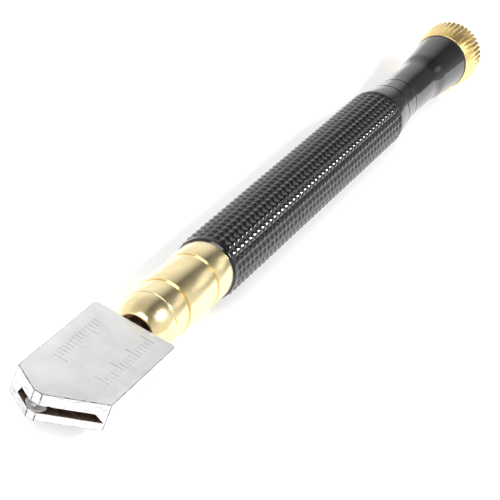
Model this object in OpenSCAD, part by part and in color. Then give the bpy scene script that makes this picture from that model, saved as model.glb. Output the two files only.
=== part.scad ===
// Oil-fed glass cutter: a steel cutting head on a swivelling shank, a brass ferrule with the
// oil valve in it, a hollow knurled handle that holds the oil, and a brass filler cap.
// The tool lies along Y with the cutting wheel at -Y and the cap at +Y. The head is flat in XY.
// "Station" below means the distance in millimetres behind the front edge of the wheel.

/* [Cutting head] */
// Width of the head block, across its two guide faces
head_w = 14.3; // [13:0.1:15]
// Thickness of the head block
head_t = 4.8; // [4.7:0.1:5.2]
// Station of the head's rear face
head_rear = 27.9; // [26:0.1:28.4]
// Sideways offset of the nose from the tool's axis
nose_x = -1.9; // [-2.5:0.1:0]
// Angle of the two nose facets, from square across
facet_angle = 36; // [30:1:38]
// Station of the small flat that blunts the nose
nose_flat = 0.5; // [0.4:0.05:0.7]
// Bevel on the head's rear corners
head_bevel = 0.4; // [0.2:0.1:1.5]
// Thickness of the saw slot that holds the wheel
slot_t = 1.4; // [1.35:0.05:1.5]
// Height of the middle of the saw slot above the tool's axis
slot_z = -0.3; // [-0.4:0.05:-0.1]
// Radius of the saw slot's round bottom along its upper edge
slot_top_r = 6.3; // [6:0.1:6.6]
// Radius of the saw slot's round bottom along its lower edge
slot_bottom_r = 7.5; // [6.8:0.1:7.6]
// Sideways offset of the saw slot's centre along its lower edge
slot_x = 1.8; // [1.4:0.1:2]
// How far the saw slot leans to the left between its lower and its upper edge
slot_lean = 0.65; // [0:0.05:0.8]
// Station of the centre of the saw slot
slot_s = 1; // [0.8:0.1:1.2]

/* [Wheel] */
// Diameter of the cutting wheel
wheel_d = 3.5; // [3.3:0.1:4]
// Thickness of the cutting wheel
wheel_t = 1.24; // [1:0.02:1.26]
// Radial depth of the wheel's sharpened V edge
wheel_edge = 0.35; // [0.2:0.05:0.6]
// Diameter of the axle pin
axle_d = 1.2; // [1:0.1:1.4]

/* [Shank] */
// Diameter of the shank that swivels in the ferrule
shank_d = 4.4; // [4:0.1:4.5]
// Diameter of the shank's spigot inside the head
spigot_d = 3; // [2.6:0.1:3.2]
// Diameter of the oil passage along the shank
oil_d = 1.2; // [1:0.1:1.3]
// How far the head presses in to open the valve
press_travel = 0.6; // [0.3:0.1:0.8]

/* [Ferrule] */
// Station of the ferrule's nose
ferrule_front = 29; // [28.8:0.1:30]
// Diameter of the ferrule's nose
ferrule_nose_d = 6.4; // [6.3:0.1:7]
// Station where the domed nose meets the front band
dome_end = 33.8; // [33:0.1:35]
// Height of the step from the domed nose up to the front band
dome_step = 0.12; // [0.05:0.01:0.2]
// Diameter of the front band
band_1_d = 9.9; // [9.4:0.1:10]
// Station of the front groove
groove_1 = 38.6; // [38.4:0.1:40]
// Diameter of the middle band
band_2_d = 10.2; // [10:0.1:10.4]
// Station of the rear groove
groove_2 = 49.2; // [48:0.1:50]
// Diameter of the rear band
band_3_d = 10.4; // [10.2:0.1:10.6]

/* [Handle] */
// Station of the handle's front face
handle_front = 54.9; // [54:0.1:56]
// Diameter of the smooth rim in front of the grip
rim_d = 10.9; // [10.7:0.1:11.1]
// Diameter over the knurled grip
grip_d = 11.5; // [11.2:0.1:11.9]
// Station where the grip starts to taper
shoulder_start = 133; // [128:1:136]
// Station where the taper ends in the waist
shoulder_end = 150; // [146:1:152]
// Diameter of the waist
waist_d = 8.54; // [8.4:0.02:9]
// Station where the waist starts to flare
flare_start = 158; // [155:1:160]
// Station of the handle's rear face
handle_rear = 173.35; // [172:0.05:174]
// Diameter of the handle's rear face
tail_d = 11.2; // [10.8:0.1:11.4]
// Diameter of the oil reservoir along the handle
reservoir_d = 6.8; // [6:0.1:7]

/* [Cap] */
// Overall length of the tool, from the wheel's edge to the end of the cap
tool_length = 182; // [181:0.5:184]
// Diameter over the cap's knurled rim, the widest round on the tool
cap_d = 13; // [12.8:0.1:13.4]
// Thickness of the rubber ring under the cap
cap_seal_t = 0.6; // [0.4:0.05:0.8]
// Station where the cap's cone meets its knurled rim
cap_rim = 178; // [177:0.1:179]
// Length of the cap's threaded plug
plug_length = 8.4; // [7.8:0.1:9]

/* [Hidden] */
$fn = 96;

// The frame: the origin is under the middle of the tool, on the surface it lies on
nose_y = -tool_length / 2;
axis_z = cap_d / 2;

// Clearances: fit between bodies that move, gap between pieces that are pressed together
fit = 0.04;
gap = 0.01;
cut = 0.5;

// Head
facet_slope = tan(facet_angle);
spigot_front = 16;
pin_s = 23.5;
pin_r = 0.6;
axle_s = wheel_d / 2;
axle_top = 1.5;
wick_r = 0.35;
wick_front = 5;

// Shank and the pocket that the retaining screw's tip works in
shank_rear = 46.9;
screw_s = 44;
screw_r = 1.25;
screw_tip_r = 0.58;
screw_tip_depth = 1.76;
pocket_depth = 1.6;
pocket_half_w = 1;
pocket_front = screw_s - screw_tip_r - press_travel - fit;
pocket_rear = screw_s + screw_tip_r + fit;

// Ferrule bores, front to rear
mouth_d = 5.84;
bush_front = 30.3;
bush_bevel = 0.25;
bush_rear = 36.2;
seal_rear = 37.9;
seal_wire_r = 0.75;
seal_groove_r = 3.75;
chamber_front = 47.6;
chamber_r = 3.42;
ferrule_tail_r = 4.18;
ferrule_rear = 66;
groove_w = 0.3;
groove_depth = 0.16;

// Valve, from the gasket to the plug that holds the spring
gasket_t = 0.5;
seat_front = chamber_front + gasket_t;
seat_face = 50.1;
seat_rear = 51.1;
seat_bore_r = 1.15;
seat_mouth_r = 2.6;
stem_r = 0.75;
valve_ring_r = 0.5;
poppet_front = seat_face + 2 * valve_ring_r + 2 * fit;
poppet_rear = poppet_front + 1.6;
poppet_r = 2.2;
retainer_front = 60;
retainer_rear = 63;
stem_rear = 62;
spring_wire_r = 0.3;
spring_mean_r = 1.75;
spring_turns = 7;

// Handle bores, front to rear
rim_end = handle_front + 1.5;
front_seal_recess = 0.9;
front_seal_recess_r = 4.95;
front_thread_r = 4.2;
front_thread_rear = 67;
rear_thread_front = 164.5;
rear_thread_r = 3.9;
flare_blend = 5;
flare_slope = 0.075;
waist_rings = [141, 146.8];

// Cap
cap_front = handle_rear + cap_seal_t + gap;
cap_front_d = 11.4;
cap_chamfer = 0.5;
plug_r = rear_thread_r - fit;
plug_bore_r = 2.4;

// Turns a shape drawn upwards from z = 0 onto the tool's axis, so that z becomes the station
module on_axis() {
    translate([0, nose_y, axis_z])
        rotate([-90, 0, 0])
            children();
}

// Places a shape drawn in X and stations, centred on the tool's axis in height
module in_plan() {
    translate([0, nose_y, axis_z])
        children();
}

// Solid of revolution about the tool's axis, from points of [radius, station]
module lathe(points) {
    on_axis()
        rotate_extrude()
            polygon(points);
}

// Round bar or bore on the tool's axis between two stations
module bar(from, to, radius) {
    on_axis()
        translate([0, 0, from])
            cylinder(h = to - from, r = radius);
}

// Rubber ring of round section about the tool's axis
module o_ring(station, inner_r, wire_r) {
    on_axis()
        translate([0, 0, station])
            rotate_extrude()
                translate([inner_r + wire_r, 0])
                    circle(r = wire_r, $fn = 32);
}

// Upright round bar or hole between two heights above the tool's axis
module upright(x, station, from, to, radius) {
    in_plan()
        translate([x, station, from])
            cylinder(h = to - from, r = radius, $fn = 48);
}

// Station of the nose facets at a sideways position
function facet_at(x) = abs(x - nose_x) * facet_slope;

module head_outline() {
    half_w = head_w / 2;
    flat_half = nose_flat / facet_slope;
    polygon([
        [nose_x - flat_half, nose_flat],
        [nose_x + flat_half, nose_flat],
        [half_w, facet_at(half_w)],
        [half_w, head_rear - head_bevel],
        [half_w - head_bevel, head_rear],
        [-half_w + head_bevel, head_rear],
        [-half_w, head_rear - head_bevel],
        [-half_w, facet_at(-half_w)]
    ]);
}

// Round-bottomed slot of an angled saw cut, narrower and further left along its upper edge
module saw_slot() {
    lean = slot_lean / slot_t;
    in_plan()
        translate([slot_x, slot_s, slot_z - slot_t / 2])
            multmatrix([
                [1, 0, -lean, 0],
                [0, 1, 0, 0],
                [0, 0, 1, 0],
                [0, 0, 0, 1]
            ])
                cylinder(h = slot_t, r1 = slot_bottom_r, r2 = slot_top_r);
}

module head_block() {
    color("gainsboro")
        difference() {
            in_plan()
                translate([0, 0, -head_t / 2])
                    linear_extrude(head_t)
                        head_outline();
            saw_slot();
            upright(nose_x, axle_s, -head_t / 2 - cut, axle_top + gap, axle_d / 2 + gap);
            upright(0, pin_s, -head_t / 2 - cut, 0, pin_r + gap);
            bar(spigot_front - gap, head_rear + cut, spigot_d / 2 + gap);
            bar(slot_s, spigot_front, wick_r + 0.15);
        }
}

module cutting_wheel() {
    radius = wheel_d / 2;
    half_t = wheel_t / 2;
    color("dimgray")
        in_plan()
            translate([nose_x, axle_s, slot_z])
                difference() {
                    rotate_extrude()
                        polygon([
                            [0, -half_t],
                            [radius - wheel_edge, -half_t],
                            [radius, 0],
                            [radius - wheel_edge, half_t],
                            [0, half_t]
                        ]);
                    translate([0, 0, -half_t - cut])
                        cylinder(h = wheel_t + 2 * cut, r = axle_d / 2 + fit, $fn = 48);
                }
}

module wheel_axle() {
    color("silver")
        upright(nose_x, axle_s, -head_t / 2 + 0.05, axle_top, axle_d / 2);
}

module head_shank() {
    color("silver")
        difference() {
            union() {
                bar(spigot_front, head_rear + gap, spigot_d / 2);
                bar(head_rear + gap, shank_rear, shank_d / 2);
            }
            bar(spigot_front - cut, shank_rear + cut, oil_d / 2);
            upright(0, pin_s, -spigot_d, -oil_d / 2 - 0.15, pin_r + gap);
            in_plan()
                translate([-pocket_half_w, pocket_front, -shank_d])
                    cube([2 * pocket_half_w, pocket_rear - pocket_front, shank_d - pocket_depth]);
        }
}

module shank_pin() {
    color("dimgray")
        upright(0, pin_s, -head_t / 2 + 0.05, -oil_d / 2 - 0.16, pin_r);
}

module oil_wick() {
    color("wheat")
        bar(wick_front, shank_rear - 1, wick_r);
}

module swivel_bush() {
    outer_r = mouth_d / 2 - gap;
    inner_r = shank_d / 2 + fit;
    color("peru")
        lathe([
            [inner_r, bush_front],
            [outer_r - bush_bevel, bush_front],
            [outer_r, bush_front + bush_bevel],
            [outer_r, bush_rear],
            [inner_r, bush_rear]
        ]);
}

module shank_seal() {
    color("black")
        o_ring((bush_rear + seal_rear) / 2, shank_d / 2 + fit, seal_wire_r);
}

// Shallow square groove around the ferrule
module ferrule_groove(station, outer_r) {
    difference() {
        bar(station - groove_w / 2, station + groove_w / 2, outer_r + cut);
        bar(station - groove_w, station + groove_w, outer_r - groove_depth);
    }
}

// Radius of the ferrule's domed nose
function dome_radius(s) =
    let (
        rise = band_1_d / 2 - dome_step - ferrule_nose_d / 2,
        t = pow((s - ferrule_front) / (dome_end - ferrule_front), 0.75)
    )
        ferrule_nose_d / 2 + rise * sin(90 * t);

module ferrule() {
    dome_points = 8;
    dome = [
        for (i = [0:dome_points])
            let (s = ferrule_front + (dome_end - ferrule_front) * pow(i / dome_points, 1.5))
                [dome_radius(s), s]
    ];
    bands = [
        [band_1_d / 2, dome_end + dome_step],
        [band_1_d / 2, groove_1],
        [band_2_d / 2, groove_1 + groove_w / 2],
        [band_2_d / 2, groove_2],
        [band_3_d / 2, groove_2 + groove_w / 2],
        [band_3_d / 2, handle_front - gap],
        [ferrule_tail_r, handle_front - gap],
        [ferrule_tail_r, ferrule_rear],
        [0, ferrule_rear]
    ];
    color("goldenrod")
        difference() {
            lathe(concat([[0, ferrule_front]], dome, bands));
            bar(ferrule_front - cut, bush_rear, mouth_d / 2);
            bar(bush_rear, seal_rear, seal_groove_r);
            bar(seal_rear - cut, chamber_front + cut, shank_d / 2 + fit);
            bar(chamber_front, ferrule_rear + cut, chamber_r);
            ferrule_groove(groove_1, band_1_d / 2);
            ferrule_groove(groove_2, band_2_d / 2);
            upright(0, screw_s, -band_2_d, -shank_d / 4, screw_r + gap);
        }
}

module head_retaining_screw() {
    shoulder = shank_d / 2 + 0.3;
    slot_w = 0.5;
    slot_depth = 0.6;
    outer = band_2_d / 2 - 0.2;
    color("dimgray")
        difference() {
            union() {
                upright(0, screw_s, -outer, -shoulder, screw_r);
                upright(0, screw_s, -shoulder, -screw_tip_depth, screw_tip_r);
            }
            in_plan()
                translate([-slot_w / 2, screw_s - screw_r - cut, -outer - cut])
                    cube([slot_w, 2 * (screw_r + cut), slot_depth + cut]);
        }
}

module ferrule_seal() {
    wire_r = 0.36;
    color("black")
        o_ring(handle_front + front_seal_recess / 2, ferrule_tail_r + gap, wire_r);
}

module seat_gasket() {
    color("firebrick")
        difference() {
            bar(chamber_front, seat_front, chamber_r - 2 * gap);
            bar(chamber_front - cut, seat_front + cut, seat_bore_r + 0.5);
        }
}

module valve_seat() {
    color("goldenrod")
        difference() {
            bar(seat_front, seat_rear, chamber_r - 2 * gap);
            bar(seat_front - cut, seat_rear + cut, seat_bore_r);
            bar(seat_face, seat_rear + cut, seat_mouth_r);
        }
}

module valve_plunger() {
    color("silver")
        union() {
            bar(shank_rear + gap, poppet_front, stem_r);
            bar(poppet_front, poppet_rear, poppet_r);
            bar(poppet_rear, stem_rear, stem_r);
        }
}

module valve_seal() {
    color("black")
        o_ring(seat_face + fit + valve_ring_r, stem_r + fit, valve_ring_r);
}

// Height of the spring's wire after t of its length, with the end coils closed up
function coil_rise(t) = t - sin(360 * t) / (2 * PI) * 0.75;

// Wire of round section wound into a coil, swept as one closed skin
module valve_spring() {
    sides = 10;
    steps = 20 * spring_turns;
    height = retainer_front - poppet_rear - 2 * spring_wire_r - 2 * gap;
    ring_points = [
        for (i = [0:steps])
            let (t = i / steps, turn = 360 * spring_turns * t)
                for (k = [0:sides - 1])
                    let (
                        side = 360 * k / sides,
                        reach = spring_mean_r + spring_wire_r * cos(side)
                    )
                        [
                            reach * cos(turn),
                            reach * sin(turn),
                            height * coil_rise(t) + spring_wire_r * sin(side)
                        ]
    ];
    skin = [
        for (i = [0:steps - 1])
            for (k = [0:sides - 1])
                let (next = (k + 1) % sides)
                    [
                        i * sides + k,
                        (i + 1) * sides + k,
                        (i + 1) * sides + next,
                        i * sides + next
                    ]
    ];
    first_end = [for (k = [0:sides - 1]) k];
    last_end = [for (k = [sides - 1:-1:0]) steps * sides + k];
    color("lightgray")
        on_axis()
            translate([0, 0, poppet_rear + gap + spring_wire_r])
                polyhedron(points = ring_points, faces = concat(skin, [first_end, last_end]));
}

module spring_retainer() {
    hole_r = 0.55;
    hole_ring_r = 2.1;
    color("goldenrod")
        difference() {
            bar(retainer_front, retainer_rear, chamber_r - 2 * gap);
            bar(retainer_front - cut, retainer_rear + cut, stem_r + fit);
            on_axis()
                for (turn = [45:90:315])
                    rotate([0, 0, turn])
                        translate([hole_ring_r, 0, retainer_front - cut])
                            cylinder(h = retainer_rear - retainer_front + 2 * cut, r = hole_r, $fn = 32);
        }
}

// Radius of the handle where the grip tapers into the waist
function shoulder_radius(s) =
    let (t = pow((s - shoulder_start) / (shoulder_end - shoulder_start), 0.8))
        grip_d / 2 - (grip_d - waist_d) / 2 * (1 - cos(180 * t)) / 2;

// Radius of the handle where the waist flares towards the cap
function flare_radius(s) =
    let (
        cone = tail_d / 2 - flare_slope * (handle_rear - s),
        t = min(1, (s - flare_start) / flare_blend)
    )
        waist_d / 2 + (cone - waist_d / 2) * t * t * (3 - 2 * t);

module handle_tube() {
    rim_bevel = 0.4;
    ring_depth = 0.1;
    shoulder = [for (s = [shoulder_start:1:shoulder_end]) [shoulder_radius(s), s]];
    flare = [for (s = [flare_start:1:flare_start + flare_blend]) [flare_radius(s), s]];
    color("black")
        difference() {
            lathe(concat(
                [
                    [0, handle_front],
                    [rim_d / 2 - rim_bevel, handle_front],
                    [rim_d / 2, handle_front + rim_bevel],
                    [rim_d / 2, rim_end - (grip_d - rim_d) / 2],
                    [grip_d / 2, rim_end]
                ],
                shoulder,
                flare,
                [
                    [tail_d / 2, handle_rear],
                    [0, handle_rear]
                ]
            ));
            bar(handle_front - cut, handle_front + front_seal_recess, front_seal_recess_r);
            bar(handle_front, front_thread_rear, front_thread_r);
            bar(front_thread_rear - cut, rear_thread_front + cut, reservoir_d / 2);
            bar(rear_thread_front, handle_rear + cut, rear_thread_r);
            for (ring = waist_rings)
                difference() {
                    bar(ring - groove_w / 2, ring + groove_w / 2, grip_d);
                    bar(ring - groove_w, ring + groove_w, shoulder_radius(ring) - ring_depth);
                }
        }
}

module cap_seal() {
    inner_r = plug_r + fit;
    outer_r = cap_front_d / 2;
    half_t = cap_seal_t / 2 - gap;
    color("black")
        on_axis()
            translate([0, 0, handle_rear + cap_seal_t / 2])
                rotate_extrude()
                    union() {
                        translate([inner_r, -half_t])
                            square([outer_r - half_t - inner_r, 2 * half_t]);
                        translate([outer_r - half_t, 0])
                            circle(r = half_t, $fn = 24);
                    }
}

module end_cap() {
    color("gold")
        difference() {
            union() {
                lathe([
                    [0, cap_front],
                    [cap_front_d / 2, cap_front],
                    [cap_d / 2, cap_rim],
                    [cap_d / 2, tool_length - cap_chamfer],
                    [cap_d / 2 - cap_chamfer, tool_length],
                    [0, tool_length]
                ]);
                bar(cap_front - plug_length, cap_front + gap, plug_r);
            }
            bar(cap_front - plug_length - cut, cap_rim, plug_bore_r);
        }
}

head_block();
cutting_wheel();
wheel_axle();
head_shank();
shank_pin();
oil_wick();
swivel_bush();
shank_seal();
ferrule();
head_retaining_screw();
ferrule_seal();
seat_gasket();
valve_seat();
valve_plunger();
valve_seal();
valve_spring();
spring_retainer();
handle_tube();
cap_seal();
end_cap();
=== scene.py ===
"""Looks of the oil-fed glass cutter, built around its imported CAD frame.

Lengths are millimetres until they go into a mesh. "Station" is the distance behind the front edge
of the wheel, along the tool's axis.
"""

import math

import bmesh
import bpy
from mathutils import Matrix, Vector


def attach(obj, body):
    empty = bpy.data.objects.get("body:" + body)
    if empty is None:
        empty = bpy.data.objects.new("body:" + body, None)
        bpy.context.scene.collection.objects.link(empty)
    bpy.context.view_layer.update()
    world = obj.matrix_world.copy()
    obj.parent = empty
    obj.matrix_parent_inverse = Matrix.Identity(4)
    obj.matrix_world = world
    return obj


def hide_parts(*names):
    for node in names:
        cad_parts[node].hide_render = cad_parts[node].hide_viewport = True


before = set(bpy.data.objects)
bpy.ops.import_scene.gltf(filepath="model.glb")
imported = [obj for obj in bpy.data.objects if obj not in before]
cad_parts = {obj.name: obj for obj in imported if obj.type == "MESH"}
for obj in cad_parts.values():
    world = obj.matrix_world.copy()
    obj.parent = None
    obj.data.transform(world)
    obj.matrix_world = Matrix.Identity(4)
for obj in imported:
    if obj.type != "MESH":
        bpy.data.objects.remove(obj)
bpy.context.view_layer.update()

MM = 0.001
TOOL_LENGTH = 182.0
AXIS_HEIGHT = 6.5
TAU = 2 * math.pi

# Cutting head
HEAD_HALF_W = 7.15
HEAD_HALF_T = 2.4
HEAD_REAR = 27.9
NOSE_X = -1.9
NOSE_FLAT = 0.5
FACET_SLOPE = math.tan(math.radians(36))
CORNER_BEVEL = 0.4
EDGE_BEVEL = 0.12
SLOT_X, SLOT_STATION, SLOT_Z, SLOT_LEAN = 1.8, 1.0, -0.3, 0.65
SLOT_T, SLOT_LOW_R, SLOT_HIGH_R = 1.4, 7.5, 6.3
SPIGOT_R, SPIGOT_FRONT = 1.51, 15.99
WICK_BORE_R = 0.5
PIN_STATION, PIN_HOLE_R = 23.5, 0.61
AXLE_STATION, AXLE_HOLE_R, AXLE_TOP = 1.75, 0.61, 1.51

# Order of the head's materials
TOP_FACE, EDGES, SLOT_WALL, SIDES, TICKS = range(5)

# Two rows of engraved graduation ticks on the head's top face: (x, first station, ticks, long side)
TICK_ROWS = [(-3.7, 10.4, 14, -1), (3.3, 10.6, 16, 1)]
TICK_PITCH = 1.0
TICK_LONG, TICK_SHORT = 2.5, 1.4
TICK_W, TICK_DEPTH = 0.26, 0.1

# Wheel
WHEEL_R, WHEEL_HALF_T, WHEEL_EDGE, WHEEL_BORE_R = 1.75, 0.62, 0.35, 0.64

# Ferrule
FERRULE_FRONT, DOME_END, NOSE_R, MOUTH_R = 29.0, 33.8, 3.2, 2.92
BAND_1_R, BAND_2_R, BAND_3_R, DOME_STEP = 4.95, 5.1, 5.2, 0.12
GROOVE_1_FRONT, GROOVE_1_REAR, GROOVE_1_R = 38.45, 38.75, 4.79
GROOVE_2_FRONT, GROOVE_2_REAR, GROOVE_2_R = 49.05, 49.35, 4.94
FERRULE_SHOULDER, FERRULE_REAR, FERRULE_TAIL_R = 54.89, 66.0, 4.18
VALVE_BORE_FRONT, VALVE_BORE_R, SHANK_BORE_R = 47.6, 3.42, 2.24
GLAND_FRONT, GLAND_REAR, GLAND_R = 36.2, 37.9, 3.75
SCREW_STATION, SCREW_HOLE_LOW, SCREW_HOLE_TOP, SCREW_HOLE_R = 44, -6, -1.1, 1.26

# Handle
HANDLE_FRONT, RIM_END, HANDLE_REAR = 54.9, 56.4, 173.35
RIM_R, GRIP_R, WAIST_R, TAIL_R = 5.45, 5.75, 4.27, 5.6
SHOULDER_START, SHOULDER_END = 133.0, 150.0
FLARE_START, FLARE_BLEND, FLARE_SLOPE = 158.0, 5.0, 0.075
WAIST_RINGS = [141.0, 146.8]
WAIST_RING_DEPTH = 0.12
RESERVOIR_R, FRONT_THREAD_R, REAR_THREAD_R = 3.4, 4.2, 3.9
FRONT_BORE_END, RESERVOIR_END = 67, 164.5
REAR_THREAD_FRONT, REAR_THREAD_REAR, REAR_BORE_END, REAR_MOUTH_R = 165.5, 172.6, 172.9, 4.0
SEAL_RECESS_R, SEAL_RECESS_DEPTH = 4.95, 0.9

# Knurl on the grip
KNURL_FIRST_PEAK = 57.15
KNURL_END = 134.1
KNURL_PITCH = 1.71
KNURL_AROUND = 26
KNURL_DEPTH = 0.34
KNURL_STEPS = 8

# Cap
CAP_SEAL_FRONT, CAP_SEAL_REAR, CAP_SEAL_R = 173.36, 173.94, 5.7
CAP_FRONT, CAP_RIM, CAP_REAR = 173.96, 178.0, 182.0
CAP_FRONT_R, CAP_R = 5.7, 6.5
CAP_TEETH, CAP_TOOTH_DEPTH = 40, 0.3
PLUG_FRONT, PLUG_R, PLUG_BORE_R, PLUG_BORE_END = 165.56, 3.86, 2.4, 174.0
THREAD_PITCH, THREAD_DEPTH, THREAD_STEP = 1.0, 0.42, 0.12


# ---------------------------------------------------------------- mesh helpers

def place(x, station, height):
    """Row-frame point in metres of a point given across, by station and above the tool's axis."""
    return Vector((x, station - TOOL_LENGTH / 2, height + AXIS_HEIGHT)) * MM


def on_axis():
    """Turns a shape drawn upwards from z = 0 onto the tool's axis, so that z becomes the station."""
    return Matrix.Translation(place(0, 0, 0)) @ Matrix.Rotation(-math.pi / 2, 4, "X")


def piece_from(name, mesh_build, body, node):
    """A shown piece, made from a bmesh in metres, that stands for a CAD node."""
    mesh = bpy.data.meshes.new(name)
    mesh_build.to_mesh(mesh)
    mesh_build.free()
    piece = bpy.data.objects.new(name, mesh)
    bpy.context.scene.collection.objects.link(piece)
    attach(piece, body)
    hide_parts(node)
    return piece


def shade(piece, sharp_degrees):
    """Smooth shading with hard edges where faces meet at more than an angle."""
    for face in piece.data.polygons:
        face.use_smooth = True
    piece.data.set_sharp_from_angle(angle=math.radians(sharp_degrees))


def eased(points, size, steps=3, closed=True):
    """A profile with its sharp corners rounded by about size."""
    count = len(points)
    rounded = []
    for i, here in enumerate(points):
        if not closed and i in (0, count - 1):
            rounded.append(here)
            continue
        here_v = Vector(here)
        back = Vector(points[i - 1]) - here_v
        ahead = Vector(points[(i + 1) % count]) - here_v
        if back.length < 1e-6 or ahead.length < 1e-6 or back.angle(ahead) > math.radians(158):
            rounded.append(here)
            continue
        reach_back = back.normalized() * min(size, back.length * 0.4)
        reach_ahead = ahead.normalized() * min(size, ahead.length * 0.4)
        for k in range(steps + 1):
            t = k / steps
            rounded.append(tuple(here_v + reach_back * (1 - t) ** 2 + reach_ahead * t ** 2))
    return rounded


def revolve(profile, sides, matrix, relief=None, ring_shaped=True):
    """Solid turned from a profile of (station, radius), closed at its ends if it isn't ring-shaped.

    relief(station, radius, turn) gives the radius once teeth, threads or knurling are cut."""
    build = bmesh.new()
    rings = []
    for station, radius in profile:
        ring = []
        for k in range(sides):
            turn = TAU * k / sides
            r = relief(station, radius, turn) if relief else radius
            point = (r * math.cos(turn) * MM, r * math.sin(turn) * MM, station * MM)
            ring.append(build.verts.new(point))
        rings.append(ring)
    pairs = list(zip(rings, rings[1:]))
    if ring_shaped:
        pairs.append((rings[-1], rings[0]))
    else:
        build.faces.new(rings[0])
        build.faces.new(rings[-1])
    for ring, following in pairs:
        for k in range(sides):
            n = (k + 1) % sides
            build.faces.new((ring[k], ring[n], following[n], following[k]))
    build.transform(matrix)
    bmesh.ops.recalc_face_normals(build, faces=build.faces)
    return build


def prism(outline, low, high):
    """Upright prism over a flat outline, in metres."""
    build = bmesh.new()
    base = [build.verts.new((x, y, low)) for x, y in outline]
    cap = [build.verts.new((x, y, high)) for x, y in outline]
    count = len(outline)
    build.faces.new(base[::-1])
    build.faces.new(cap)
    for i in range(count):
        n = (i + 1) % count
        build.faces.new((base[i], base[n], cap[n], cap[i]))
    bmesh.ops.recalc_face_normals(build, faces=build.faces)
    return build


def add_cone(build, matrix, low_r, high_r, depth, sides=64):
    """Adds a closed cone or cylinder of that depth, standing on the matrix's origin."""
    centre = matrix @ Matrix.Translation((0, 0, depth / 2 * MM))
    bmesh.ops.create_cone(
        build, cap_ends=True, segments=sides, radius1=low_r * MM, radius2=high_r * MM,
        depth=depth * MM, matrix=centre)


def cut_away(piece, cutter_build, name):
    """Cuts a bmesh's shape out of a piece, for good."""
    mesh = bpy.data.meshes.new(name)
    cutter_build.to_mesh(mesh)
    cutter_build.free()
    cutter = bpy.data.objects.new(name, mesh)
    bpy.context.scene.collection.objects.link(cutter)
    cut = piece.modifiers.new(name, "BOOLEAN")
    cut.operation = "DIFFERENCE"
    cut.solver = "EXACT"
    cut.object = cutter
    graph = bpy.context.evaluated_depsgraph_get()
    result = bpy.data.meshes.new_from_object(piece.evaluated_get(graph))
    piece.modifiers.remove(cut)
    piece.data = result
    bpy.data.objects.remove(cutter)


# ---------------------------------------------------------------- materials

class Surface:
    """Builds one procedural material round a Principled shader."""

    def __init__(self, name, metallic, specular=0.5, coat=0.0, coat_rough=0.1):
        self.material = bpy.data.materials.new(name)
        self.material.use_nodes = True
        self.tree = self.material.node_tree
        self.shader = self.tree.nodes["Principled BSDF"]
        self.set("Metallic", metallic)
        self.set("Specular IOR Level", specular)
        self.set("Coat Weight", coat)
        self.set("Coat Roughness", coat_rough)
        self.coords = self.tree.nodes.new("ShaderNodeTexCoord")

    def set(self, socket, value):
        self.shader.inputs[socket].default_value = value

    def link(self, out, into):
        self.tree.links.new(out, into)

    def noise(self, size, detail=3.0, roughness=0.6, stretch=(1, 1, 1)):
        """Noise whose features are about size millimetres, stretched along x, y and z."""
        mapping = self.tree.nodes.new("ShaderNodeMapping")
        for i in range(3):
            mapping.inputs["Scale"].default_value[i] = 1 / (size * MM * stretch[i])
        texture = self.tree.nodes.new("ShaderNodeTexNoise")
        texture.inputs["Scale"].default_value = 1.0
        texture.inputs["Detail"].default_value = detail
        texture.inputs["Roughness"].default_value = roughness
        self.link(self.coords.outputs["Object"], mapping.inputs["Vector"])
        self.link(mapping.outputs["Vector"], texture.inputs["Vector"])
        return texture.outputs["Fac"]

    def ramp(self, factor, stops):
        """Colour ramp of (position, colour) stops."""
        node = self.tree.nodes.new("ShaderNodeValToRGB")
        elements = node.color_ramp.elements
        while len(elements) < len(stops):
            elements.new(0.5)
        for element, (position, colour) in zip(elements, stops):
            element.position = position
            element.color = (*colour, 1)
        self.link(factor, node.inputs["Fac"])
        return node.outputs["Color"]

    def spread(self, factor, low, high, start=0.3, end=0.7):
        """Maps a factor to a range of numbers."""
        node = self.tree.nodes.new("ShaderNodeMapRange")
        node.inputs["From Min"].default_value = start
        node.inputs["From Max"].default_value = end
        node.inputs["To Min"].default_value = low
        node.inputs["To Max"].default_value = high
        self.link(factor, node.inputs["Value"])
        return node.outputs["Result"]

    def colour(self, output):
        self.link(output, self.shader.inputs["Base Color"])

    def rough(self, output):
        self.link(output, self.shader.inputs["Roughness"])

    def bump(self, heights, strength=1.0):
        """Bumps of (factor, depth in millimetres), laid over each other."""
        normal = None
        for factor, depth in heights:
            node = self.tree.nodes.new("ShaderNodeBump")
            node.inputs["Strength"].default_value = strength
            node.inputs["Distance"].default_value = depth * MM
            self.link(factor, node.inputs["Height"])
            if normal:
                self.link(normal, node.inputs["Normal"])
            normal = node.outputs["Normal"]
        self.link(normal, self.shader.inputs["Normal"])


def tinted(colour, factor):
    return tuple(min(1.0, c * factor) for c in colour)


def satin_steel(name, colour, roughness, grain=0.12, depth=0.004, spread=0.08):
    """Steel or carbide with a fine even grain and slight cloudiness."""
    s = Surface(name, metallic=1.0)
    cloud = s.noise(3.5, detail=4)
    fine = s.noise(grain, detail=2)
    dark, light = tinted(colour, 1 - spread), tinted(colour, 1 + spread / 2)
    s.colour(s.ramp(cloud, [(0.3, dark), (0.7, light)]))
    s.rough(s.spread(fine, roughness - 0.06, roughness + 0.08))
    s.bump([(cloud, depth * 2), (fine, depth)])
    return s.material


def turned_metal(name, colour, dark, roughness, line=0.07, depth=0.0015, cloud_size=5.0):
    """Metal with fine lathe lines round the tool's axis and a slightly uneven colour."""
    s = Surface(name, metallic=1.0)
    lines = s.noise(line, detail=2, stretch=(60, 1, 60))
    cloud = s.noise(cloud_size, detail=3)
    s.colour(s.ramp(cloud, [(0.25, dark), (0.7, colour)]))
    s.rough(s.spread(lines, roughness - 0.04, roughness + 0.07))
    s.bump([(lines, depth)])
    return s.material


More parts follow.
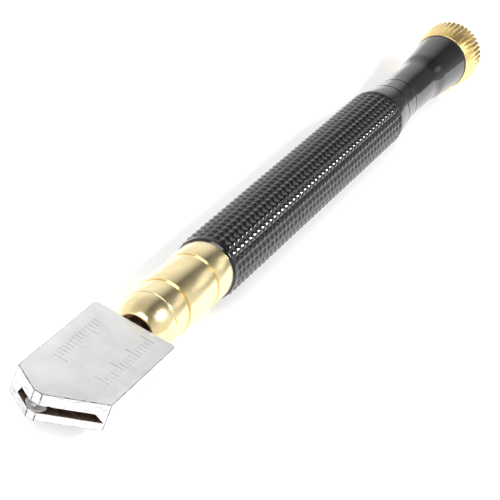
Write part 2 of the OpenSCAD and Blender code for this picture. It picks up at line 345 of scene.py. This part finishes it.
def rubber(name, colour, roughness=0.55):
    """Matte moulded rubber with a faint bloom."""
    s = Surface(name, metallic=0.0, specular=0.4)
    bloom = s.noise(0.8, detail=4)
    s.colour(s.ramp(bloom, [(0.3, colour), (0.75, tinted(colour, 1.6))]))
    s.rough(s.spread(bloom, roughness - 0.08, roughness + 0.12))
    s.bump([(s.noise(0.12, detail=2), 0.003)])
    return s.material


def gloss_black():
    """Thick glossy black coating over the handle's metal, with a slight orange peel."""
    s = Surface("gloss_black", metallic=0.0, specular=0.5, coat=0.0)
    peel = s.noise(0.9, detail=2)
    dust = s.noise(0.25, detail=5, roughness=0.7)
    s.colour(s.ramp(dust, [(0.35, (0.003, 0.003, 0.003)), (0.8, (0.009, 0.009, 0.01))]))
    s.rough(s.spread(peel, 0.08, 0.17))
    s.bump([(peel, 0.004)])
    return s.material


def worn_and_shaded_edge():
    """The head's burred edges: bright metal broken up by dark nicks, and darkened all along with painted
    shade on the bevels.
    """
    s = Surface("worn_and_shaded_edge", metallic=1.0)
    nicks_and_shade = s.noise(0.55, detail=5, roughness=0.75)
    # The dark end of the ramp is partly nicks and partly painted shade along the edges.
    s.colour(s.ramp(nicks_and_shade, [
        (0.42, (0.1, 0.1, 0.1)), (0.55, (0.4, 0.4, 0.4)), (0.66, (0.72, 0.72, 0.73)),
    ]))
    s.rough(s.spread(nicks_and_shade, 0.65, 0.4))
    s.bump([(nicks_and_shade, 0.05)])
    return s.material


def milled_steel():
    """The head's milled sides and nose facets, with fine cutter marks along them."""
    s = Surface("milled_steel", metallic=1.0)
    marks = s.noise(0.22, detail=4, roughness=0.7, stretch=(8, 8, 1))
    s.colour(s.ramp(marks, [
        (0.34, (0.45, 0.45, 0.45)), (0.5, (0.76, 0.76, 0.765)), (0.68, (0.85, 0.85, 0.855)),
    ]))
    s.rough(s.spread(marks, 0.5, 0.4))
    s.bump([(marks, 0.012)])
    return s.material


def oily_slot_and_painted_shade():
    """Sawn steel inside the slot, stained brown by cutting oil, its dark brown partly painted shade of the
    narrow slot.
    """
    s = Surface("oily_slot_and_painted_shade", metallic=0.8)
    stain_and_shade = s.noise(1.4, detail=4)
    saw = s.noise(0.12, detail=2, stretch=(30, 30, 1))
    # The dark browns are partly oil stain and partly painted shade inside the slot.
    s.colour(s.ramp(stain_and_shade, [(0.35, (0.16, 0.1, 0.07)), (0.65, (0.42, 0.3, 0.23))]))
    s.rough(s.spread(saw, 0.35, 0.5))
    s.bump([(saw, 0.006)])
    return s.material


def wick_cotton():
    """Twisted cotton, damp with oil."""
    s = Surface("wick_cotton", metallic=0.0)
    twist = s.noise(0.12, detail=3, stretch=(1, 4, 1))
    s.colour(s.ramp(twist, [(0.3, (0.42, 0.34, 0.2)), (0.7, (0.78, 0.7, 0.52))]))
    s.rough(s.spread(twist, 0.6, 0.9))
    s.bump([(twist, 0.05)])
    return s.material


def red_fibre():
    """Pressed red fibre of the valve's gasket."""
    s = Surface("red_fibre", metallic=0.0)
    fleck = s.noise(0.2, detail=5)
    s.colour(s.ramp(fleck, [(0.3, (0.3, 0.05, 0.03)), (0.7, (0.5, 0.13, 0.08))]))
    s.rough(s.spread(fleck, 0.7, 0.9))
    s.bump([(fleck, 0.02)])
    return s.material


HEAD_STEEL = satin_steel("head_steel", (0.94, 0.94, 0.945), 0.45, grain=0.16, depth=0.003)
MILLED_STEEL = milled_steel()
WORN_AND_SHADED_EDGE = worn_and_shaded_edge()
ENGRAVING = satin_steel("engraving", (0.3, 0.3, 0.305), 0.6, grain=0.1, spread=0.3)
OILY_SLOT_AND_PAINTED_SHADE = oily_slot_and_painted_shade()
CARBIDE = satin_steel("carbide", (0.3, 0.29, 0.29), 0.3, grain=0.05, depth=0.002, spread=0.15)
PIN_STEEL = satin_steel("pin_steel", (0.5, 0.49, 0.48), 0.35, grain=0.08)
SHANK_STEEL = turned_metal("shank_steel", (0.34, 0.33, 0.32), (0.2, 0.19, 0.19), 0.28)
SPRING_STEEL = satin_steel("spring_steel", (0.62, 0.62, 0.64), 0.25, grain=0.06)
FERRULE_BRASS = turned_metal("ferrule_brass", (0.93, 0.79, 0.46), (0.84, 0.68, 0.36), 0.2)
CAP_BRASS = turned_metal("cap_brass", (0.92, 0.7, 0.28), (0.78, 0.56, 0.2), 0.27)
VALVE_BRASS = turned_metal("valve_brass", (0.86, 0.68, 0.34), (0.7, 0.52, 0.24), 0.3)
BUSH_BRONZE = turned_metal("bush_bronze", (0.4, 0.19, 0.09), (0.2, 0.09, 0.05), 0.25)
SEAL_RUBBER = rubber("seal_rubber", (0.012, 0.012, 0.012))
GLOSS_BLACK = gloss_black()
WICK_COTTON = wick_cotton()
RED_FIBRE = red_fibre()


# ---------------------------------------------------------------- cutting head

def facet_at(x):
    """Station of the nose facets at a sideways position."""
    return abs(x - NOSE_X) * FACET_SLOPE


def head_outline():
    """Corners of the head seen from above, in row-frame metres."""
    flat_half = NOSE_FLAT / FACET_SLOPE
    corners = [
        (NOSE_X - flat_half, NOSE_FLAT),
        (NOSE_X + flat_half, NOSE_FLAT),
        (HEAD_HALF_W, facet_at(HEAD_HALF_W)),
        (HEAD_HALF_W, HEAD_REAR - CORNER_BEVEL),
        (HEAD_HALF_W - CORNER_BEVEL, HEAD_REAR),
        (-HEAD_HALF_W + CORNER_BEVEL, HEAD_REAR),
        (-HEAD_HALF_W, HEAD_REAR - CORNER_BEVEL),
        (-HEAD_HALF_W, facet_at(-HEAD_HALF_W)),
    ]
    return [(x * MM, place(0, station, 0).y) for x, station in corners]


def add_tick(build, x, station, length):
    """Adds a V-shaped cut across the head's top face, as a three-sided bar."""
    top = HEAD_HALF_T + 0.05
    bottom = HEAD_HALF_T - TICK_DEPTH
    section = [(-TICK_W / 2, top), (TICK_W / 2, top), (0, bottom)]
    ends = []
    for side in (-1, 1):
        end_x = x + side * length / 2
        ends.append([build.verts.new(place(end_x, station + across, height)) for across, height in section])
    build.faces.new(ends[0])
    build.faces.new(ends[1][::-1])
    for i in range(3):
        n = (i + 1) % 3
        build.faces.new((ends[0][i], ends[1][i], ends[1][n], ends[0][n]))


def tick_cutter():
    """Both rows of graduation ticks, longer at every fifth."""
    build = bmesh.new()
    for x, first, count, side in TICK_ROWS:
        for i in range(count):
            length = TICK_LONG if i % 5 == 0 else TICK_SHORT
            add_tick(build, x + side * (TICK_LONG - length) / 2, first + i * TICK_PITCH, length)
    bmesh.ops.recalc_face_normals(build, faces=build.faces)
    return build


def bore_cutter():
    """The spigot's bore with the wick's bore ahead of it."""
    bores = [
        (SLOT_STATION, WICK_BORE_R), (SPIGOT_FRONT, WICK_BORE_R), (SPIGOT_FRONT, SPIGOT_R),
        (HEAD_REAR + 0.5, SPIGOT_R),
    ]
    build = bmesh.new()
    rings = []
    sides = 48
    for station, radius in bores:
        ring = []
        for k in range(sides):
            turn = TAU * k / sides
            ring.append(build.verts.new(place(radius * math.cos(turn), station, radius * math.sin(turn))))
        rings.append(ring)
    build.faces.new(rings[0])
    build.faces.new(rings[-1][::-1])
    for low, high in zip(rings, rings[1:]):
        for k in range(sides):
            n = (k + 1) % sides
            build.faces.new((low[k], high[k], high[n], low[n]))
    bmesh.ops.recalc_face_normals(build, faces=build.faces)
    return build


def hole_cutter(x, station, low, high, radius):
    """An upright hole, with its ends given above the axis."""
    build = bmesh.new()
    add_cone(build, Matrix.Translation(place(x, station, low)), radius, radius, high - low, sides=40)
    return build


def in_slot(point):
    """Whether a point lies on the wall of the saw slot."""
    station = point.y / MM + TOOL_LENGTH / 2 - SLOT_STATION
    rise = (point.z / MM - AXIS_HEIGHT - SLOT_Z) / SLOT_T + 0.5
    x = point.x / MM - SLOT_X + SLOT_LEAN * rise
    return -0.01 < rise < 1.01 and math.hypot(x, station) < SLOT_LOW_R + 0.01


def in_tick(point):
    """Whether a point lies at the bottom of a graduation tick."""
    depth = AXIS_HEIGHT + HEAD_HALF_T - point.z / MM
    station = point.y / MM + TOOL_LENGTH / 2
    return abs(depth - TICK_DEPTH) < 0.01 and station > TICK_ROWS[0][1] - 1 and abs(point.x / MM) < 6.5


def build_head():
    low, high = place(0, 0, -HEAD_HALF_T).z, place(0, 0, HEAD_HALF_T).z
    build = prism(head_outline(), low, high)
    bevelled = bmesh.ops.bevel(
        build, geom=build.edges[:], offset=EDGE_BEVEL * MM, segments=2, profile=0.6, affect="EDGES")
    for face in build.faces:
        face.material_index = TOP_FACE if abs(face.normal.z) > 0.5 else SIDES
    # The bevels get the nicked edge finish, whose darkness is partly painted shade.
    for face in bevelled["faces"]:
        face.material_index = EDGES
    head = piece_from("head_block_cut", build, "head", "head_block")
    for material in (HEAD_STEEL, WORN_AND_SHADED_EDGE, OILY_SLOT_AND_PAINTED_SHADE, MILLED_STEEL, ENGRAVING):
        head.data.materials.append(material)

    slot = bmesh.new()
    lean = Matrix.Identity(4)
    lean[0][2] = -SLOT_LEAN / SLOT_T
    add_cone(slot, Matrix.Identity(4), SLOT_LOW_R, SLOT_HIGH_R, SLOT_T, sides=128)
    slot.transform(Matrix.Translation(place(SLOT_X, SLOT_STATION, SLOT_Z - SLOT_T / 2)) @ lean)
    cut_away(head, slot, "slot_cut")
    cut_away(head, bore_cutter(), "bore_cut")
    under = -HEAD_HALF_T - 0.5
    cut_away(head, hole_cutter(NOSE_X, AXLE_STATION, under, AXLE_TOP, AXLE_HOLE_R), "axle_cut")
    cut_away(head, hole_cutter(0, PIN_STATION, under, 0, PIN_HOLE_R), "pin_cut")
    cut_away(head, tick_cutter(), "tick_cut")
    for face in head.data.polygons:
        corners = [head.data.vertices[v].co for v in face.vertices]
        # Faces on the slot's walls get the oil-stained steel, darkened with painted shade of the slot.
        if all(in_slot(corner) for corner in corners):
            face.material_index = SLOT_WALL
        elif any(in_tick(corner) for corner in corners):
            face.material_index = TICKS
    shade(head, 35)
    return head


def build_wheel():
    """Carbide wheel on an upright axle, with its V edge and eased faces."""
    flat_r = WHEEL_R - WHEEL_EDGE
    profile = [
        (-WHEEL_HALF_T, WHEEL_BORE_R), (-WHEEL_HALF_T, flat_r), (0, WHEEL_R), (WHEEL_HALF_T, flat_r),
        (WHEEL_HALF_T, WHEEL_BORE_R),
    ]
    centre = Matrix.Translation(place(NOSE_X, AXLE_STATION, SLOT_Z))
    build = revolve(eased(profile, 0.03, steps=2), 128, centre)
    wheel = piece_from("cutting_wheel_ground", build, "wheel", "cutting_wheel")
    wheel.data.materials.append(CARBIDE)
    shade(wheel, 30)
    return wheel


# ---------------------------------------------------------------- ferrule

def dome_radius(station):
    """Radius of the ferrule's domed nose."""
    t = ((station - FERRULE_FRONT) / (DOME_END - FERRULE_FRONT)) ** 0.75
    return NOSE_R + (BAND_1_R - DOME_STEP - NOSE_R) * math.sin(math.pi / 2 * t)


def build_ferrule():
    """Turned brass nose and bands, bored for the bush, the shank, the valve and the handle's thread."""
    dome_steps = 24
    stations = [
        FERRULE_FRONT + (DOME_END - FERRULE_FRONT) * (i / dome_steps) ** 1.5 for i in range(dome_steps + 1)
    ]
    profile = [(FERRULE_FRONT, MOUTH_R)] + [(station, dome_radius(station)) for station in stations]
    profile += [
        (DOME_END + DOME_STEP, BAND_1_R),
        (GROOVE_1_FRONT, BAND_1_R), (GROOVE_1_FRONT, GROOVE_1_R),
        (GROOVE_1_REAR, GROOVE_1_R), (GROOVE_1_REAR, BAND_2_R),
        (GROOVE_2_FRONT, BAND_2_R), (GROOVE_2_FRONT, GROOVE_2_R),
        (GROOVE_2_REAR, GROOVE_2_R), (GROOVE_2_REAR, BAND_3_R),
        (FERRULE_SHOULDER, BAND_3_R), (FERRULE_SHOULDER, FERRULE_TAIL_R),
        (FERRULE_REAR, FERRULE_TAIL_R), (FERRULE_REAR, VALVE_BORE_R),
        (VALVE_BORE_FRONT, VALVE_BORE_R), (VALVE_BORE_FRONT, SHANK_BORE_R),
        (GLAND_REAR, SHANK_BORE_R), (GLAND_REAR, GLAND_R), (GLAND_FRONT, GLAND_R), (GLAND_FRONT, MOUTH_R),
    ]
    build = revolve(eased(profile, 0.09), 160, on_axis())
    ferrule = piece_from("ferrule_turned", build, "handle", "ferrule")
    ferrule.data.materials.append(FERRULE_BRASS)
    screw_hole = hole_cutter(0, SCREW_STATION, SCREW_HOLE_LOW, SCREW_HOLE_TOP, SCREW_HOLE_R)
    cut_away(ferrule, screw_hole, "screw_cut")
    shade(ferrule, 30)
    return ferrule


# ---------------------------------------------------------------- handle

def shoulder_radius(station):
    """Radius where the grip tapers into the waist."""
    t = ((station - SHOULDER_START) / (SHOULDER_END - SHOULDER_START)) ** 0.8
    return GRIP_R - (GRIP_R - WAIST_R) * (1 - math.cos(math.pi * t)) / 2


def flare_radius(station):
    """Radius where the waist flares towards the cap."""
    cone = TAIL_R - FLARE_SLOPE * (HANDLE_REAR - station)
    t = min(1.0, (station - FLARE_START) / FLARE_BLEND)
    return WAIST_R + (cone - WAIST_R) * t * t * (3 - 2 * t)


def skin_radius(station):
    """Radius of the handle's plain outer skin."""
    if station <= SHOULDER_START:
        return GRIP_R
    if station < SHOULDER_END:
        return shoulder_radius(station)
    if station < FLARE_START:
        return WAIST_R
    return flare_radius(station)


def knurl_height(station, turn):
    """Height of the knurl, from 0 in the pits to 1 on the peaks."""
    along = (station - KNURL_FIRST_PEAK) / KNURL_PITCH
    around = turn * KNURL_AROUND / TAU
    across = abs((along + 0.5) % 1 - 0.5)
    sideways = abs((around + 0.5) % 1 - 0.5)
    return 1 - 2 * (across ** 6 + sideways ** 6) ** (1 / 6)


def handle_relief(station, radius, turn):
    """Cuts the knurl into the grip and the thread into the rear bore."""
    if radius > 5.3 and RIM_END < station < KNURL_END + 0.001:
        return radius - KNURL_DEPTH * (1 - knurl_height(station, turn))
    if abs(radius - REAR_THREAD_R) < 0.001 and REAR_THREAD_FRONT < station < REAR_THREAD_REAR:
        return radius + thread_depth(station, turn)
    return radius


def thread_depth(station, turn):
    """Depth of a V thread, drawn left-handed: its station falls as the turn grows."""
    phase = (station / THREAD_PITCH + turn / TAU) % 1
    return THREAD_DEPTH * (1 - abs(2 * phase - 1))


def grip_stations():
    step = KNURL_PITCH / KNURL_STEPS
    count = int((KNURL_END - RIM_END - 0.1) / step)
    return [RIM_END + 0.1 + i * step for i in range(count + 1)]


def build_handle():
    outer = [(HANDLE_FRONT, RIM_R - 0.4), (HANDLE_FRONT + 0.4, RIM_R), (RIM_END - 0.1, RIM_R)]
    outer = eased([(HANDLE_FRONT, SEAL_RECESS_R)] + outer, 0.12, closed=False)
    outer += [(s, skin_radius(s)) for s in grip_stations()]
    outer += [(KNURL_END + 0.01, skin_radius(KNURL_END) - KNURL_DEPTH * 0.6)]
    station = KNURL_END + 0.45
    while station < HANDLE_REAR - 0.2:
        outer.append((station, skin_radius(station) - ring_groove(station)))
        station += 0.15
    tail = [(HANDLE_REAR - 0.16, TAIL_R - 0.01), (HANDLE_REAR, TAIL_R), (HANDLE_REAR, REAR_MOUTH_R)]
    outer += eased(tail, 0.12, closed=False)
    bore = [(HANDLE_REAR, REAR_MOUTH_R)]
    bore += [(REAR_BORE_END - THREAD_STEP * i, REAR_THREAD_R) for i in range(70)]
    bore += [(RESERVOIR_END, REAR_THREAD_R), (RESERVOIR_END, RESERVOIR_R)]
    bore += [(FRONT_BORE_END, RESERVOIR_R), (FRONT_BORE_END, FRONT_THREAD_R)]
    recess_end = HANDLE_FRONT + SEAL_RECESS_DEPTH
    bore += [(recess_end, FRONT_THREAD_R), (recess_end, SEAL_RECESS_R)]
    build = revolve(outer + bore[1:], KNURL_AROUND * KNURL_STEPS, on_axis(), handle_relief)
    handle = piece_from("handle_knurled", build, "handle", "handle_tube")
    handle.data.materials.append(GLOSS_BLACK)
    shade(handle, 50)
    return handle


def ring_groove(station):
    """Depth of the two fine turned rings on the waist."""
    nearest = min(abs(station - ring) for ring in WAIST_RINGS)
    return WAIST_RING_DEPTH * max(0.0, 1 - nearest / 0.25)


# ---------------------------------------------------------------- cap

def cap_relief(station, radius, turn):
    """Cuts the teeth into the cap's rim and the thread into its plug."""
    if radius > 5.9 and station > CAP_RIM - 0.4:
        tooth = 0.5 - 0.5 * math.cos(turn * CAP_TEETH)
        fade = min(1.0, max(0.0, (station - CAP_RIM + 0.4) / 0.5))
        return radius - CAP_TOOTH_DEPTH * tooth ** 1.5 * fade
    if abs(radius - PLUG_R) < 0.001 and PLUG_FRONT + 0.5 < station < CAP_FRONT - 0.6:
        return radius - thread_depth(station, turn)
    return radius


def build_cap():
    bore = [(PLUG_BORE_END, 0.3), (PLUG_BORE_END, PLUG_BORE_R), (PLUG_FRONT, PLUG_BORE_R)]
    plug = [(PLUG_FRONT, PLUG_R - 0.3), (PLUG_FRONT + 0.3, PLUG_R)]
    plug += [(PLUG_FRONT + 0.4 + THREAD_STEP * i, PLUG_R) for i in range(62)]
    head = [
        (CAP_FRONT, PLUG_R - 0.1), (CAP_FRONT, CAP_FRONT_R), (CAP_RIM - 0.4, CAP_R - 0.08),
        (CAP_RIM, CAP_R), (CAP_REAR - 0.5, CAP_R), (CAP_REAR, CAP_R - 0.5), (CAP_REAR, 0.3),
    ]
    head = eased(head, 0.12, closed=False)
    build = revolve(bore + plug + head, CAP_TEETH * 8, on_axis(), cap_relief, ring_shaped=False)
    cap = piece_from("end_cap_turned", build, "cap", "end_cap")
    cap.data.materials.append(CAP_BRASS)
    shade(cap, 35)
    return cap


def build_cap_seal():
    """Rubber ring squeezed between the handle and the cap."""
    profile = [
        (CAP_SEAL_FRONT, 3.9), (CAP_SEAL_FRONT, CAP_SEAL_R),
        (CAP_SEAL_REAR, CAP_SEAL_R), (CAP_SEAL_REAR, 3.9),
    ]
    build = revolve(eased(profile, 0.25, steps=5), 128, on_axis())
    seal = piece_from("cap_seal_ring", build, "cap_ring", "cap_seal")
    seal.data.materials.append(SEAL_RUBBER)
    shade(seal, 40)
    return seal


# ---------------------------------------------------------------- CAD nodes that are shown as they are

NODE_FINISHES = {
    "wheel_axle": PIN_STEEL,
    "shank_pin": PIN_STEEL,
    "head_retaining_screw": PIN_STEEL,
    "head_shank": SHANK_STEEL,
    "valve_plunger": SHANK_STEEL,
    "oil_wick": WICK_COTTON,
    "swivel_bush": BUSH_BRONZE,
    "shank_seal": SEAL_RUBBER,
    "ferrule_seal": SEAL_RUBBER,
    "valve_seal": SEAL_RUBBER,
    "seat_gasket": RED_FIBRE,
    "valve_seat": VALVE_BRASS,
    "spring_retainer": VALVE_BRASS,
    "valve_spring": SPRING_STEEL,
}


def finish_nodes():
    for name, material in NODE_FINISHES.items():
        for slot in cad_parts[name].material_slots:
            slot.material = material


# ---------------------------------------------------------------- floor, light and camera

def build_floor():
    """Plain white floor, 8 m square."""
    mesh = bpy.data.meshes.new("floor")
    half = 4.0
    corners = [(-half, -half, 0), (half, -half, 0), (half, half, 0), (-half, half, 0)]
    mesh.from_pydata(corners, [], [(0, 1, 2, 3)])
    floor = bpy.data.objects.new("floor", mesh)
    bpy.context.scene.collection.objects.link(floor)
    paper = Surface("white_paper", metallic=0.0, specular=0.1)
    fibre = paper.noise(4.0, detail=3)
    paper.colour(paper.ramp(fibre, [(0.2, (0.96, 0.96, 0.96)), (0.8, (0.98, 0.98, 0.98))]))
    paper.set("Roughness", 0.9)
    mesh.materials.append(paper.material)


def softbox(name, centre, target, width, height, glow):
    """Rectangular lamp that faces a target, in row-frame metres; glow is how bright it looks."""
    data = bpy.data.lights.new(name, "AREA")
    data.shape = "RECTANGLE"
    data.size = width
    data.size_y = height
    data.energy = glow * math.pi * width * height
    light = bpy.data.objects.new(name, data)
    light.location = centre
    light.rotation_euler = (Vector(target) - Vector(centre)).to_track_quat("-Z", "Y").to_euler()
    light.visible_camera = False
    bpy.context.scene.collection.objects.link(light)


def tent_ramp(tree, factor, stops):
    """Brightness of the tent by one part of the direction, from -1 to 1, as (part, brightness) stops."""
    spread = tree.nodes.new("ShaderNodeMapRange")
    spread.inputs["From Min"].default_value = -1
    tree.links.new(factor, spread.inputs["Value"])
    ramp = tree.nodes.new("ShaderNodeValToRGB")
    elements = ramp.color_ramp.elements
    while len(elements) < len(stops):
        elements.new(0.5)
    for element, (part, brightness) in zip(elements, stops):
        element.position = (part + 1) / 2
        element.color = (brightness, brightness, brightness, 1)
    tree.links.new(spread.outputs["Result"], ramp.inputs["Fac"])
    return ramp.outputs["Color"]


def build_tent():
    """White tent round the tool, darker above it and in a soft band that runs over it lengthwise."""
    world = bpy.data.worlds.new("tent")
    world.use_nodes = True
    tree = world.node_tree
    direction = tree.nodes.new("ShaderNodeTexCoord")
    split = tree.nodes.new("ShaderNodeSeparateXYZ")
    tree.links.new(direction.outputs["Generated"], split.inputs["Vector"])
    across = tent_ramp(tree, split.outputs["X"], [
        (-0.45, 1.0), (-0.27, 0.92), (-0.16, 0.68), (-0.08, 0.42), (0.0, 0.16), (0.1, 0.24), (0.4, 0.3),
        (0.65, 0.85),
    ])
    upward = tent_ramp(tree, split.outputs["Z"], [(0.4, 1.0), (0.65, 0.65), (1.0, 0.5)])
    both = tree.nodes.new("ShaderNodeMix")
    both.data_type = "RGBA"
    both.blend_type = "MULTIPLY"
    both.inputs["Factor"].default_value = 1.0
    tree.links.new(across, both.inputs["A"])
    tree.links.new(upward, both.inputs["B"])
    sky = tree.nodes["Background"]
    sky.inputs["Strength"].default_value = 1.1
    tree.links.new(both.outputs["Result"], sky.inputs["Color"])
    bpy.context.scene.world = world


def build_light():
    build_tent()
    softbox("front_key", (-0.2, -1.0, 1.2), (0, 0, 0), 1.0, 1.0, 6.0)
    softbox("right_strip", (0.75, 0.95, 0.03), (0, 0, 0.006), 0.9, 0.1, 1.5)
    softbox("brass_panel", (0.075, 0.137, 0.085), (0, -0.043, 0.01), 0.07, 0.05, 0.9)
    softbox("key_lamp", (0.52, 0.28, 0.68), (0, 0, 0.006), 0.17, 0.17, 75)


# Camera's place in millimetres, its right and up directions, and its focal length
CAMERA_AT = (74.98, -333.51, 186.34)
CAMERA_RIGHT = (0.8575, 0.3924, 0.3327)
CAMERA_UP = (-0.475, 0.3557, 0.8049)
CAMERA_LENS = 158.77


def build_camera():
    """Camera at the viewing angle, rolled about 22 degrees against the floor."""
    right = Vector(CAMERA_RIGHT).normalized()
    back = right.cross(Vector(CAMERA_UP)).normalized()
    up = back.cross(right)
    turn = Matrix((right, up, back)).transposed()
    data = bpy.data.cameras.new("camera")
    data.lens = CAMERA_LENS
    data.sensor_width = 36
    data.clip_start = 0.01
    camera = bpy.data.objects.new("camera", data)
    camera.matrix_world = Matrix.Translation(Vector(CAMERA_AT) * MM) @ turn.to_4x4()
    bpy.context.scene.collection.objects.link(camera)
    bpy.context.scene.camera = camera


bpy.context.scene.view_settings.view_transform = "Standard"
build_camera()
build_light()
build_floor()
build_head()
build_wheel()
build_ferrule()
build_handle()
build_cap()
build_cap_seal()
finish_nodes()
